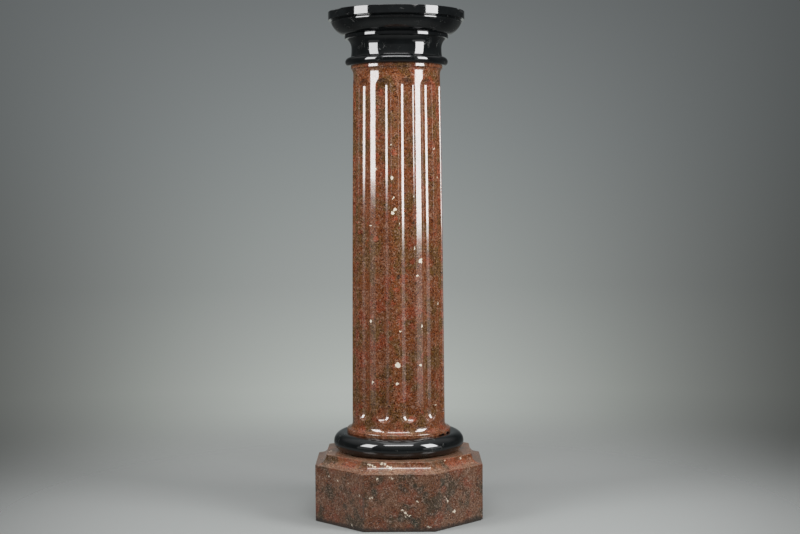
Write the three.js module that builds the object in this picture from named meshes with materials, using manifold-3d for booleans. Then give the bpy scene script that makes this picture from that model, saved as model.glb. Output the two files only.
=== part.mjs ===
// A scagliola pedestal column: an octagonal plinth with a hollowed top edge, a black torus,
// a shaft with twelve flutes, and a black turned capital under a round abacus.
// The four pieces stand one on the other by their own weight.
// Millimetres, +Z up, front towards -Y, origin in the middle of the plinth's underside.

import * as THREE from 'three';
import { mergeVertices } from 'three/addons/utils/BufferGeometryUtils.js';
import Module from 'manifold-3d';

// Driving dimensions of the whole column
const COLUMN_HEIGHT = 1100;
const ROUND_SIDES = 48;

// Plinth: a regular octagon with one face square to the front
const PLINTH_SIDES = 8;
const PLINTH_ACROSS_FLATS = 362;
const PLINTH_DIE_HEIGHT = 122;
const PLINTH_HOLLOW_HEIGHT = 21;
const PLINTH_HOLLOW_DEPTH = 23.5;
const PLINTH_HOLLOW_STEPS = 6;

// Base torus: a half-round ring, solid through the middle
const TORUS_ROUND = 20.5;
const TORUS_RADIUS = 143;
const TORUS_STEPS = 10;

// Shaft foot: a plain band with an eased upper edge, then a hollow up to the round body
const FOOT_RADIUS = 114;
const FOOT_HEIGHT = 8.5;
const FOOT_EASING = 2.5;
const FOOT_EASING_STEPS = 2;
const FOOT_HOLLOW_HEIGHT = 13.5;
const SHAFT_HOLLOW_STEPS = 3;

// Shaft body: a taper with a slight swelling, and a hollow out to the band at its head
const BODY_FOOT_RADIUS = 101.7;
const BODY_HEAD_RADIUS = 94.7;
const BODY_SWELLING = 0.8;
const BODY_RINGS = 1;
const HEAD_RADIUS = 99.8;
const HEAD_HEIGHT = 6.5;
const HEAD_HOLLOW_HEIGHT = 12.5;

// Flutes: shallow round grooves, each run out at both ends as a ball cutter leaves it
const FLUTE_COUNT = 12;
const FLUTE_TURN = THREE.MathUtils.degToRad(-17.7);
const FLUTE_HALF_ANGLE = THREE.MathUtils.degToRad(10.3);
const FLUTE_DEPTH = 8.5;
const FLUTE_ABOVE_FOOT = 32;
const FLUTE_BELOW_HEAD = 31.5;
const FLUTE_STEPS = 6;
const FLUTE_END_STEPS = 4;
const FLUTE_TIP_SHARE = 0.12;
const LAND_STEPS = 4;

// Capital, from its underside up: astragal, waisted neck, ring, ovolo, fillet and abacus
const ASTRAGAL_ROUND = 9.9;
const ASTRAGAL_RADIUS = 112.2;
const ASTRAGAL_STEPS = 7;
const NECK_HEIGHT = 38.7;
const NECK_FOOT_RADIUS = 101;
const NECK_WAIST_RADIUS = 98.3;
const NECK_WAIST_HEIGHT = 17.7;
const NECK_HEAD_RADIUS = 106.9;
const NECK_FLARE_POWER = 2.4;
const NECK_STEPS = 7;
const RING_RADIUS = 112.7;
const RING_HEIGHT = 8.4;
const OVOLO_FOOT_RADIUS = 115;
const OVOLO_HEAD_RADIUS = 141.5;
const OVOLO_ROUND = 44.8;
const OVOLO_HEIGHT = 25.6;
const OVOLO_STEPS = 6;
const FILLET_RADIUS = 143;
const FILLET_HEIGHT = 6.5;
const ABACUS_RADIUS = 148.3;
const ABACUS_HEIGHT = 17.5;

// Heights at which the pieces meet
const PLINTH_TOP = PLINTH_DIE_HEIGHT + PLINTH_HOLLOW_HEIGHT;
const TORUS_TOP = PLINTH_TOP + 2 * TORUS_ROUND;
const CAPITAL_HEIGHT = 2 * ASTRAGAL_ROUND + NECK_HEIGHT + RING_HEIGHT + OVOLO_HEIGHT
  + FILLET_HEIGHT + ABACUS_HEIGHT;
const SHAFT_TOP = COLUMN_HEIGHT - CAPITAL_HEIGHT;

// The plinth's corners lie further out than its faces
const PLINTH_HALF_SIDE = Math.PI / PLINTH_SIDES;
const PLINTH_CORNER_RADIUS = PLINTH_ACROSS_FLATS / 2 / Math.cos(PLINTH_HALF_SIDE);

// Knocks on the edges: degrees round the axis from the front, length along the edge,
// and how far in and how far up or down the bite reaches
const RIM_KNOCKS = [
  { angle: -58, length: 44, depth: 5, height: 2.4 },
  { angle: 15, length: 11, depth: 4, height: 2 },
  { angle: 64, length: 14, depth: 3, height: 1.6 },
];
const FOOT_KNOCKS = [
  { angle: 56, length: 30, depth: 6, height: 4 },
  { angle: 70, length: 26, depth: 7, height: 6 },
];
const CORNER_KNOCKS = [
  { angle: 67.5, length: 22, depth: 7, height: 6 },
];

// Finishes
const RED_SCAGLIOLA = { color: 0x6b3a27, roughness: 0.14, metalness: 0 };
const MAUVE_SCAGLIOLA = { color: 0x6a483c, roughness: 0.3, metalness: 0 };
const BLACK_STONE = { color: 0x131617, roughness: 0.1, metalness: 0 };

const wasm = await Module();
wasm.setup();

function point(radius, height) {
  return new THREE.Vector2(radius, height);
}

/** Evenly spaced shares from 0 to 1, both included. */
function shares(steps) {
  return Array.from({ length: steps + 1 }, (_, index) => index / steps);
}

/** A round moulding: an arc that swells outwards on its way up from start to end. */
function swelling(start, end, radius, steps) {
  const way = end.clone().sub(start);
  const halfWay = way.length() / 2;
  const inwards = point(-way.y, way.x).normalize();
  const setBack = Math.sqrt(Math.max(0, radius ** 2 - halfWay ** 2));
  const centre = start.clone().lerp(end, 0.5).addScaledVector(inwards, setBack);
  const first = Math.atan2(start.y - centre.y, start.x - centre.x);
  const sweep = 2 * Math.asin(Math.min(1, halfWay / radius));
  return shares(steps).map((share) => {
    const angle = first + sweep * share;
    return point(centre.x + radius * Math.cos(angle), centre.y + radius * Math.sin(angle));
  });
}

/** A hollow moulding: a quarter ellipse, level at its broad end and upright at its narrow end. */
function hollow(broad, narrow, steps) {
  return shares(steps).map((share) => {
    const angle = share * Math.PI / 2;
    return point(
      THREE.MathUtils.lerp(broad.x, narrow.x, Math.sin(angle)),
      THREE.MathUtils.lerp(narrow.y, broad.y, Math.cos(angle)),
    );
  });
}

/** A turned solid: the outline spun round the upright axis and closed across both ends. */
function turned(outline, sides, turn = 0) {
  const closed = [point(0, outline[0].y), ...outline, point(0, outline.at(-1).y)];
  const geometry = new THREE.LatheGeometry(closed, sides, turn);
  geometry.rotateX(Math.PI / 2);
  return geometry;
}

/** The plinth's outline is drawn at mid-face, then carried out to the corners. */
function plinthGeometry() {
  const reach = PLINTH_ACROSS_FLATS / 2;
  const outline = [
    point(reach, 0),
    ...hollow(
      point(reach, PLINTH_DIE_HEIGHT),
      point(reach - PLINTH_HOLLOW_DEPTH, PLINTH_TOP),
      PLINTH_HOLLOW_STEPS,
    ),
  ];
  const corners = outline.map((spot) => point(spot.x / Math.cos(PLINTH_HALF_SIDE), spot.y));
  return turned(corners, PLINTH_SIDES, PLINTH_HALF_SIDE);
}

function torusGeometry() {
  const seat = TORUS_RADIUS - TORUS_ROUND;
  const outline = swelling(point(seat, PLINTH_TOP), point(seat, TORUS_TOP), TORUS_ROUND, TORUS_STEPS);
  return turned(outline, ROUND_SIDES);
}

/** The waisted neck widens from its waist with a power of the distance, up and down. */
function neckOutline(foot) {
  const waist = foot + NECK_WAIST_HEIGHT;
  return shares(NECK_STEPS).map((share) => {
    const height = foot + share * NECK_HEIGHT;
    const above = (height - waist) / (NECK_HEIGHT - NECK_WAIST_HEIGHT);
    const below = (waist - height) / NECK_WAIST_HEIGHT;
    const flare = height > waist
      ? (NECK_HEAD_RADIUS - NECK_WAIST_RADIUS) * above ** NECK_FLARE_POWER
      : (NECK_FOOT_RADIUS - NECK_WAIST_RADIUS) * below ** NECK_FLARE_POWER;
    return point(NECK_WAIST_RADIUS + flare, height);
  });
}

function capitalGeometry() {
  const astragalSeat = ASTRAGAL_RADIUS - ASTRAGAL_ROUND;
  const neckFoot = SHAFT_TOP + 2 * ASTRAGAL_ROUND;
  const ringFoot = neckFoot + NECK_HEIGHT;
  const ovoloFoot = ringFoot + RING_HEIGHT;
  const filletFoot = ovoloFoot + OVOLO_HEIGHT;
  const abacusFoot = filletFoot + FILLET_HEIGHT;
  const outline = [
    ...swelling(
      point(astragalSeat, SHAFT_TOP),
      point(astragalSeat, neckFoot),
      ASTRAGAL_ROUND,
      ASTRAGAL_STEPS,
    ),
    ...neckOutline(neckFoot),
    point(RING_RADIUS, ringFoot),
    point(RING_RADIUS, ovoloFoot),
    ...swelling(
      point(OVOLO_FOOT_RADIUS, ovoloFoot),
      point(OVOLO_HEAD_RADIUS, filletFoot),
      OVOLO_ROUND,
      OVOLO_STEPS,
    ),
    point(FILLET_RADIUS, filletFoot),
    point(FILLET_RADIUS, abacusFoot),
    point(ABACUS_RADIUS, abacusFoot),
    point(ABACUS_RADIUS, COLUMN_HEIGHT),
  ];
  return turned(outline, ROUND_SIDES);
}

/** Radius of the shaft's round body at a height: a straight taper plus the swelling. */
function bodyRadius(height, foot, head) {
  const share = (height - foot) / (head - foot);
  const taper = THREE.MathUtils.lerp(BODY_FOOT_RADIUS, BODY_HEAD_RADIUS, share);
  return taper + BODY_SWELLING * Math.sin(Math.PI * share);
}

/** One level of the shaft: its height, radius, and how far it lies past a flute's straight run. */
function level(height, radius, pastRun = null) {
  return { height, radius, pastRun };
}

/** The shaft's levels from the foot to the head, closer together where the flutes run out. */
function shaftLevels() {
  const footTop = TORUS_TOP + FOOT_HEIGHT;
  const bodyFoot = footTop + FOOT_HOLLOW_HEIGHT;
  const headFoot = SHAFT_TOP - HEAD_HEIGHT;
  const bodyHead = headFoot - HEAD_HOLLOW_HEIGHT;
  const easedRadius = FOOT_RADIUS - FOOT_EASING;
  const foot = [
    point(FOOT_RADIUS, TORUS_TOP),
    ...swelling(
      point(FOOT_RADIUS, footTop - FOOT_EASING),
      point(easedRadius, footTop),
      FOOT_EASING,
      FOOT_EASING_STEPS,
    ),
    ...hollow(
      point(easedRadius, footTop),
      point(BODY_FOOT_RADIUS, bodyFoot),
      SHAFT_HOLLOW_STEPS,
    ).slice(1),
  ];
  const head = [
    ...hollow(
      point(HEAD_RADIUS, headFoot),
      point(BODY_HEAD_RADIUS, bodyHead),
      SHAFT_HOLLOW_STEPS,
    ).reverse(),
    point(HEAD_RADIUS, SHAFT_TOP),
  ];

  const lowTip = TORUS_TOP + FLUTE_ABOVE_FOOT;
  const highTip = SHAFT_TOP - FLUTE_BELOW_HEAD;
  const onBody = (height, pastRun) => level(height, bodyRadius(height, bodyFoot, bodyHead), pastRun);
  const fluteEnd = (tip, radius, upwards) => {
    const runOut = radius * Math.sin(FLUTE_HALF_ANGLE);
    return shares(FLUTE_END_STEPS).map((share) => {
      const reach = runOut * Math.sin(share * Math.PI / 2);
      return onBody(tip + upwards * (reach - runOut), reach);
    });
  };
  const lowEnd = fluteEnd(lowTip, BODY_FOOT_RADIUS, -1).reverse();
  const highEnd = fluteEnd(highTip, BODY_HEAD_RADIUS, 1);
  const run = shares(BODY_RINGS + 1).slice(1, -1).map((share) => (
    onBody(THREE.MathUtils.lerp(lowTip, highTip, share), 0)
  ));
  return [
    ...foot.map((spot) => level(spot.y, spot.x)),
    ...lowEnd,
    ...run,
    ...highEnd,
    ...head.map((spot) => level(spot.y, spot.x)),
  ];
}

/**
 * Places round the shaft at one level, as angle and depth. The first places of each flute share out
 * the groove, whose half width shrinks to a tip as a circle does, and the rest share out the land
 * beside it. The depth is a ball cutter's: sqrt(r^2 - s^2) less its standing part, s from the run's line.
 */
function placesRound({ radius, pastRun }) {
  const halfWidth = radius * Math.sin(FLUTE_HALF_ANGLE);
  const cutter = (halfWidth ** 2 + FLUTE_DEPTH ** 2) / (2 * FLUTE_DEPTH);
  const reach = pastRun ?? 0;
  const opening = Math.max(FLUTE_TIP_SHARE, Math.sqrt(Math.max(0, 1 - (reach / halfWidth) ** 2)));
  const places = [];
  for (let flute = 0; flute < FLUTE_COUNT; flute += 1) {
    const middle = FLUTE_TURN + flute * 2 * Math.PI / FLUTE_COUNT;
    for (const share of shares(FLUTE_STEPS)) {
      const across = (2 * share - 1) * opening;
      const fromLine = Math.hypot(across * halfWidth, reach);
      const cut = Math.sqrt(Math.max(0, cutter ** 2 - fromLine ** 2)) - (cutter - FLUTE_DEPTH);
      places.push({
        angle: middle + across * FLUTE_HALF_ANGLE,
        depth: pastRun === null ? 0 : Math.max(0, cut),
      });
    }
    const edge = opening * FLUTE_HALF_ANGLE;
    const nextEdge = 2 * Math.PI / FLUTE_COUNT - edge;
    for (const share of shares(LAND_STEPS).slice(1, -1)) {
      places.push({ angle: middle + THREE.MathUtils.lerp(edge, nextEdge, share), depth: 0 });
    }
  }
  return places;
}

function shaftGeometry() {
  const levels = shaftLevels();
  const positions = [];
  for (const ring of levels) {
    for (const { angle, depth } of placesRound(ring)) {
      const radius = ring.radius - depth;
      positions.push(radius * Math.sin(angle), -radius * Math.cos(angle), ring.height);
    }
  }
  const around = FLUTE_COUNT * (FLUTE_STEPS + LAND_STEPS);
  const faces = [];
  for (let row = 0; row < levels.length - 1; row += 1) {
    for (let column = 0; column < around; column += 1) {
      const next = (column + 1) % around;
      const here = row * around;
      const above = here + around;
      faces.push(here + column, here + next, above + next);
      faces.push(here + column, above + next, above + column);
    }
  }
  const underside = levels.length * around;
  const top = underside + 1;
  const lastRow = underside - around;
  positions.push(0, 0, levels[0].height, 0, 0, levels.at(-1).height);
  for (let column = 0; column < around; column += 1) {
    const next = (column + 1) % around;
    faces.push(underside, next, column);
    faces.push(top, lastRow + column, lastRow + next);
  }
  const geometry = new THREE.BufferGeometry();
  geometry.setAttribute('position', new THREE.Float32BufferAttribute(positions, 3));
  geometry.setIndex(faces);
  return geometry;
}

/** The bite of a knock: a rough pebble centred on an edge, lying along it. */
function bite({ angle, length, depth, height }, edgeRadius, edgeHeight) {
  const geometry = new THREE.IcosahedronGeometry(1, 1);
  geometry.scale(length / 2, depth, height);
  geometry.translate(0, -edgeRadius, edgeHeight);
  geometry.rotateZ(THREE.MathUtils.degToRad(angle));
  return geometry;
}

/** A closed solid from a geometry: corners at one place are merged and empty faces dropped. */
function solid(geometry) {
  const bare = geometry.clone();
  bare.deleteAttribute('normal');
  bare.deleteAttribute('uv');
  const merged = mergeVertices(bare, 1e-3);
  const corners = merged.index.array;
  const faces = [];
  for (let first = 0; first < corners.length; first += 3) {
    const [a, b, c] = corners.slice(first, first + 3);
    if (a !== b && b !== c && c !== a) {
      faces.push(a, b, c);
    }
  }
  return new wasm.Manifold(new wasm.Mesh({
    numProp: 3,
    vertProperties: new Float32Array(merged.attributes.position.array),
    triVerts: new Uint32Array(faces),
  }));
}

/** A geometry with the bites of its knocks taken out of one edge. */
function knocked(geometry, knocks, edgeRadius, edgeHeight) {
  let body = solid(geometry);
  for (const knock of knocks) {
    body = body.subtract(solid(bite(knock, edgeRadius, edgeHeight)));
  }
  const mesh = body.getMesh();
  const result = new THREE.BufferGeometry();
  result.setAttribute('position', new THREE.BufferAttribute(mesh.vertProperties, 3));
  result.setIndex(new THREE.BufferAttribute(mesh.triVerts, 1));
  return result;
}

function piece(name, geometry, finish) {
  const mesh = new THREE.Mesh(geometry, new THREE.MeshStandardMaterial(finish));
  mesh.name = name;
  return mesh;
}

const column = new THREE.Group();
column.name = 'scagliola_column';
column.add(
  piece('plinth', knocked(plinthGeometry(), CORNER_KNOCKS, PLINTH_CORNER_RADIUS, 0), MAUVE_SCAGLIOLA),
  piece('base_torus', torusGeometry(), BLACK_STONE),
  piece('shaft', knocked(shaftGeometry(), FOOT_KNOCKS, FOOT_RADIUS, TORUS_TOP), RED_SCAGLIOLA),
  piece('capital', knocked(capitalGeometry(), RIM_KNOCKS, ABACUS_RADIUS, COLUMN_HEIGHT), BLACK_STONE),
);

export default column;
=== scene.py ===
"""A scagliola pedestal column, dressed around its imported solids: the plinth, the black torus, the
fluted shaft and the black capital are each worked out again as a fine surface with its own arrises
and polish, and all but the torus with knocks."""
import math

import bpy
import numpy as np
from mathutils import Matrix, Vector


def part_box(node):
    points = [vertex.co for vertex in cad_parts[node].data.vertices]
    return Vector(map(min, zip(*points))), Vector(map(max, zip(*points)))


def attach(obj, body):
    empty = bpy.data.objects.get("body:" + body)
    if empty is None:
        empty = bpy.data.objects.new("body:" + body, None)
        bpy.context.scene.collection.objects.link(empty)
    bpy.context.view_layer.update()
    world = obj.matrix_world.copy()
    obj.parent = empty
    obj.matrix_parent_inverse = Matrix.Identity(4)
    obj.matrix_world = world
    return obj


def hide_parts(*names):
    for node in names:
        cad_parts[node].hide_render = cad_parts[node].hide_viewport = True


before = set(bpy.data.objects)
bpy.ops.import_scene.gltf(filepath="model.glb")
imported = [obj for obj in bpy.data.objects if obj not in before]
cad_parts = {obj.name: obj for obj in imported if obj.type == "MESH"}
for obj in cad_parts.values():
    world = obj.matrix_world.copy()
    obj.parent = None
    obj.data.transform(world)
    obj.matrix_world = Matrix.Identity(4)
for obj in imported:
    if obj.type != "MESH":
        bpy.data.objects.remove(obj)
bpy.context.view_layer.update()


# Plinth
# The foot of the column: an octagonal block of scagliola, which is plaster coloured right through and
# mixed with grains and flakes of stone. It is cast, then ground and polished, and stands on the floor
# by its own weight.

MM = 0.001
PLINTH_SIDES = 8
PLINTH_HOLLOW_HEIGHT = 21 * MM
PLINTH_HOLLOW_DEPTH = 23.5 * MM
PLINTH_EASING = 1.3 * MM
PLINTH_FOOT_EASING = 1.5 * PLINTH_EASING
INNER_SHARE = 0.3
PLINTH_COLUMNS_A_FACE = 40
ARRIS_SHARPNESS = 620
ARRIS_WEAR = 0.45
PLINTH_CORNER_KNOCK = {"angle": 67.5, "length": 14, "depth": 4, "rise": 3.5}
PLINTH_NIBBLES = 46
PLINTH_CRUMB = {"angle": -22.5, "length": 4.0, "depth": 1.1, "rise": 3.4}
PLINTH_CRUMB_HEIGHTS = np.linspace(29, 71, 9) * MM


def straight(start, end, steps):
    """A straight stretch of an outline: a share of the end and the rest of the start. The end itself is
    left out."""
    share = np.linspace(0, 1, steps, endpoint=False)[:, None]
    return (1 - share) * np.array(start) + share * np.array(end)


def eased(start, corner, end, steps):
    """A rubbed arris: (1 - s)^2 start + 2 s (1 - s) corner + s^2 end, touching both sides. The end is
    left out."""
    share = np.linspace(0, 1, steps, endpoint=False)[:, None]
    to_corner = (1 - share) ** 2 * np.array(start) + 2 * share * (1 - share) * np.array(corner)
    return to_corner + share**2 * np.array(end)


def hollowed(broad, narrow, steps):
    """A hollow moulding: a quarter ellipse, level at its broad end and upright at its narrow end, which
    is left out."""
    turn = np.linspace(0, np.pi / 2, steps, endpoint=False)
    reach = broad[0] + (narrow[0] - broad[0]) * np.sin(turn)
    height = narrow[1] + (broad[1] - narrow[1]) * np.cos(turn)
    return np.stack([reach, height], axis=-1)


def ripple(points, wavelength, seed, waves=10):
    """Smooth unevenness of about one wavelength, mostly within -1 to 1: the sum of sine waves in random
    directions."""
    rng = np.random.default_rng(seed)
    heading = rng.normal(size=(waves, 3))
    length = np.linalg.norm(heading, axis=1, keepdims=True)
    heading *= 2 * np.pi / wavelength * rng.uniform(0.6, 1.5, (waves, 1)) / length
    phase = rng.uniform(0, 2 * np.pi, waves)
    return np.sin(points @ heading.T + phase).sum(axis=-1) / np.sqrt(waves)


def around(radius, angle, height):
    """Points at a radius and height, at an angle round the axis that is nought at the front and grows
    to the right."""
    radius, angle, height = np.broadcast_arrays(radius, angle, height)
    return np.stack([radius * np.sin(angle), -radius * np.cos(angle), height], axis=-1)


def knock_out(points, edge, knock, upwards, seed):
    """Breaks a knock out of an edge. A point inside a rough pebble centred on the edge is carried
    inwards, away from the edge's own side, until it lies on the pebble's far side. Gives the points,
    and 1 where they moved."""
    angle = np.radians(knock["angle"])
    sizes = np.array([knock["length"] / 2, knock["depth"], knock["rise"]]) * MM
    axes = np.array([[np.cos(angle), np.sin(angle), 0], [np.sin(angle), -np.cos(angle), 0], [0, 0, 1]])
    local = (points - around(edge[0], angle, edge[1])) @ axes.T / sizes
    rough = 1 + 0.25 * ripple(points, 0.3 * knock["length"] * MM, seed)
    inwards = np.array([0, -1, -upwards]) / sizes
    inwards /= np.linalg.norm(inwards)
    across = local @ inwards
    beyond = rough**2 - (local**2).sum(axis=-1)
    inside = beyond > 0
    travel = np.where(inside, np.sqrt(np.maximum(beyond + across**2, 0)) - across, 0)
    return points + travel[..., None] * (inwards * sizes) @ axes, inside.astype(float)


def closed_surface(name, rings, masks):
    """A closed mesh from rings of points, the lowest first: each ring joins up with itself and with the
    next one, and the first and last ring close on a point of the axis. Each mask becomes an attribute
    of the points."""
    rows, columns = rings.shape[:2]
    row, column = np.meshgrid(np.arange(rows - 1), np.arange(columns), indexing="ij")
    here = row * columns + column
    beside = row * columns + (column + 1) % columns
    quads = np.stack([here, beside, beside + columns, here + columns], axis=-1).reshape(-1, 4)
    first = np.arange(columns)
    second = (first + 1) % columns
    last_row = (rows - 1) * columns
    foot = np.full(columns, rows * columns)
    foot_fan = np.stack([foot, second, first], axis=-1)
    head_fan = np.stack([foot + 1, last_row + first, last_row + second], axis=-1)
    poles = np.array([[0, 0, rings[0, 0, 2]], [0, 0, rings[-1, 0, 2]]])
    points = np.vstack([rings.reshape(-1, 3), poles])
    mesh = bpy.data.meshes.new(name)
    mesh.from_pydata(points.tolist(), [], quads.tolist() + foot_fan.tolist() + head_fan.tolist())
    mesh.shade_smooth()
    for label, mask in masks.items():
        values = np.append(mask.ravel(), [0.0, 0.0])
        mesh.attributes.new(label, "FLOAT", "POINT").data.foreach_set("value", values)
    piece = bpy.data.objects.new(name, mesh)
    bpy.context.scene.collection.objects.link(piece)
    return piece


def octagon_share(angle, sharpness):
    """How far out an octagon lies at an angle, for faces one away: one over the p-norm of its faces'
    cosines. The larger the sharpness p, the crisper the corners."""
    faces = np.arange(PLINTH_SIDES) * 2 * np.pi / PLINTH_SIDES
    towards = np.cos(angle[..., None] - faces).clip(1e-6)
    return (towards ** sharpness[..., None]).sum(axis=-1) ** (-1 / sharpness)


plinth_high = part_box("plinth")[1]
plinth_reach = plinth_high.x
plinth_top = plinth_high.z
die_top = plinth_top - PLINTH_HOLLOW_HEIGHT
top_reach = plinth_reach - PLINTH_HOLLOW_DEPTH
inner_reach = INNER_SHARE * plinth_reach
plinth_corner = plinth_reach / math.cos(math.pi / PLINTH_SIDES)

bed_edge = (plinth_reach - PLINTH_FOOT_EASING, 0)
die_edge = (plinth_reach, die_top - PLINTH_EASING)
hollow_edge = (plinth_reach - PLINTH_EASING, die_top)
top_edge = (top_reach, plinth_top - PLINTH_EASING)
plinth_outline = np.vstack([
    straight((inner_reach, 0), bed_edge, 6),
    eased(bed_edge, (plinth_reach, 0), (plinth_reach, PLINTH_FOOT_EASING), 5),
    straight((plinth_reach, PLINTH_FOOT_EASING), die_edge, 60),
    eased(die_edge, (plinth_reach, die_top), hollow_edge, 5),
    hollowed(hollow_edge, top_edge, 26),
    eased(top_edge, (top_reach, plinth_top), (top_reach - PLINTH_EASING, plinth_top), 5),
    straight((top_reach - PLINTH_EASING, plinth_top), (inner_reach, plinth_top), 10),
    [(inner_reach, plinth_top)],
])

# Columns crowd towards each corner, where the arris is rubbed round and nibbled
face_share = np.sin(np.linspace(-np.pi / 2, np.pi / 2, PLINTH_COLUMNS_A_FACE, endpoint=False))
face_middles = np.arange(PLINTH_SIDES) * 2 * np.pi / PLINTH_SIDES
plinth_angles = (face_middles[:, None] + face_share * np.pi / PLINTH_SIDES).ravel()
plain_rings = around(plinth_outline[:, :1], plinth_angles[None, :], plinth_outline[:, 1:])
sharpness = ARRIS_SHARPNESS * (1 + ARRIS_WEAR * ripple(plain_rings, 34 * MM, seed=3))
plinth_shares = octagon_share(np.broadcast_to(plinth_angles, sharpness.shape), sharpness.clip(180))
plinth_reaches = plinth_outline[:, :1] * plinth_shares
plinth_rings = around(plinth_reaches, plinth_angles[None, :], plinth_outline[:, 1:])
low_corner = (plinth_corner, 0)
plinth_rings, plinth_broken = knock_out(plinth_rings, low_corner, PLINTH_CORNER_KNOCK, upwards=-1, seed=5)

# Small nibbles out of the corner arrises
nibble_rng = np.random.default_rng(11)
for nibble in range(PLINTH_NIBBLES):
    corner = 22.5 + 45 * nibble_rng.integers(PLINTH_SIDES)
    place = nibble_rng.uniform(0.02, 0.98) * die_top
    size = nibble_rng.uniform(2.5, 6.0)
    small_knock = {"angle": corner, "length": 0.9 * size, "depth": 0.22 * size, "rise": 0.6 * size}
    arris = (plinth_corner, place)
    plinth_rings, nibbled = knock_out(plinth_rings, arris, small_knock, upwards=0, seed=100 + nibble)
    plinth_broken = np.maximum(plinth_broken, 0.6 * nibbled)

# The front left arris has lost a thin run of crumbs
for number, place in enumerate(PLINTH_CRUMB_HEIGHTS):
    arris = (plinth_corner, place)
    plinth_rings, crumbled = knock_out(plinth_rings, arris, PLINTH_CRUMB, upwards=0, seed=160 + number)
    plinth_broken = np.maximum(plinth_broken, crumbled)

plinth = closed_surface("plinth_visual", plinth_rings, {"broken": plinth_broken})


def add_node(tree, kind, inputs=(), **settings):
    """A node with these settings. An input that is given a socket is linked to it, and any other value
    is set."""
    node = tree.nodes.new(kind)
    for name, value in settings.items():
        setattr(node, name, value)
    for key, value in dict(inputs).items():
        if isinstance(value, bpy.types.NodeSocket):
            tree.links.new(value, node.inputs[key])
        else:
            node.inputs[key].default_value = value
    return node


def reckon(tree, operation, *values):
    """The result of a Math node on these values or sockets."""
    return add_node(tree, "ShaderNodeMath", enumerate(values), operation=operation).outputs[0]


def laid_over(tree, share, under, over, mode="MIX"):
    """The colour of one layer laid over another by a share from 0 to 1."""
    inputs = {0: share, 6: under, 7: over}
    return add_node(tree, "ShaderNodeMix", inputs, data_type="RGBA", blend_type=mode).outputs[2]


def graded(tree, value, low, high, start=0.0, end=1.0, way="LINEAR"):
    """A value carried from the stretch between low and high to the one between start and end."""
    inputs = {0: value, 1: low, 2: high, 3: start, 4: end}
    return add_node(tree, "ShaderNodeMapRange", inputs, interpolation_type=way).outputs[0]


def cells(tree, vector, per_metre):
    """A pattern of cells, so many to the metre: its node, and three random numbers that each cell has
    to itself."""
    inputs = {"Vector": vector, "Scale": per_metre}
    node = add_node(tree, "ShaderNodeTexVoronoi", inputs, voronoi_dimensions="3D")
    numbers = add_node(tree, "ShaderNodeSeparateColor", {0: node.outputs["Color"]}).outputs
    return node, numbers


def clouds(tree, vector, per_metre, detail=3.0, roughness=0.55):
    """Cloudy unevenness about 0.5, with so many waves to the metre."""
    inputs = {"Vector": vector, "Scale": per_metre, "Detail": detail, "Roughness": roughness}
    return add_node(tree, "ShaderNodeTexNoise", inputs, noise_dimensions="3D").outputs["Fac"]


def moved(tree, vector, by):
    """The same coordinates moved along, so that a second pattern does not lie on the first."""
    return add_node(tree, "ShaderNodeVectorMath", {0: vector, 1: by}, operation="ADD").outputs[0]


def new_group(name, inputs, outputs):
    """An empty shader node group with named inputs, each a kind and a value, and named outputs."""
    tree = bpy.data.node_groups.new(name, "ShaderNodeTree")
    for label, (kind, value) in inputs.items():
        socket = tree.interface.new_socket(label, in_out="INPUT", socket_type="NodeSocket" + kind)
        if value is not None:
            socket.default_value = value
    for label, kind in outputs.items():
        tree.interface.new_socket(label, in_out="OUTPUT", socket_type="NodeSocket" + kind)
    return tree, tree.nodes.new("NodeGroupInput").outputs, tree.nodes.new("NodeGroupOutput").inputs


def give(tree, result, values):
    """Links each of these sockets to the group's output of that name."""
    for label, value in values.items():
        tree.links.new(value, result[label])


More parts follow.
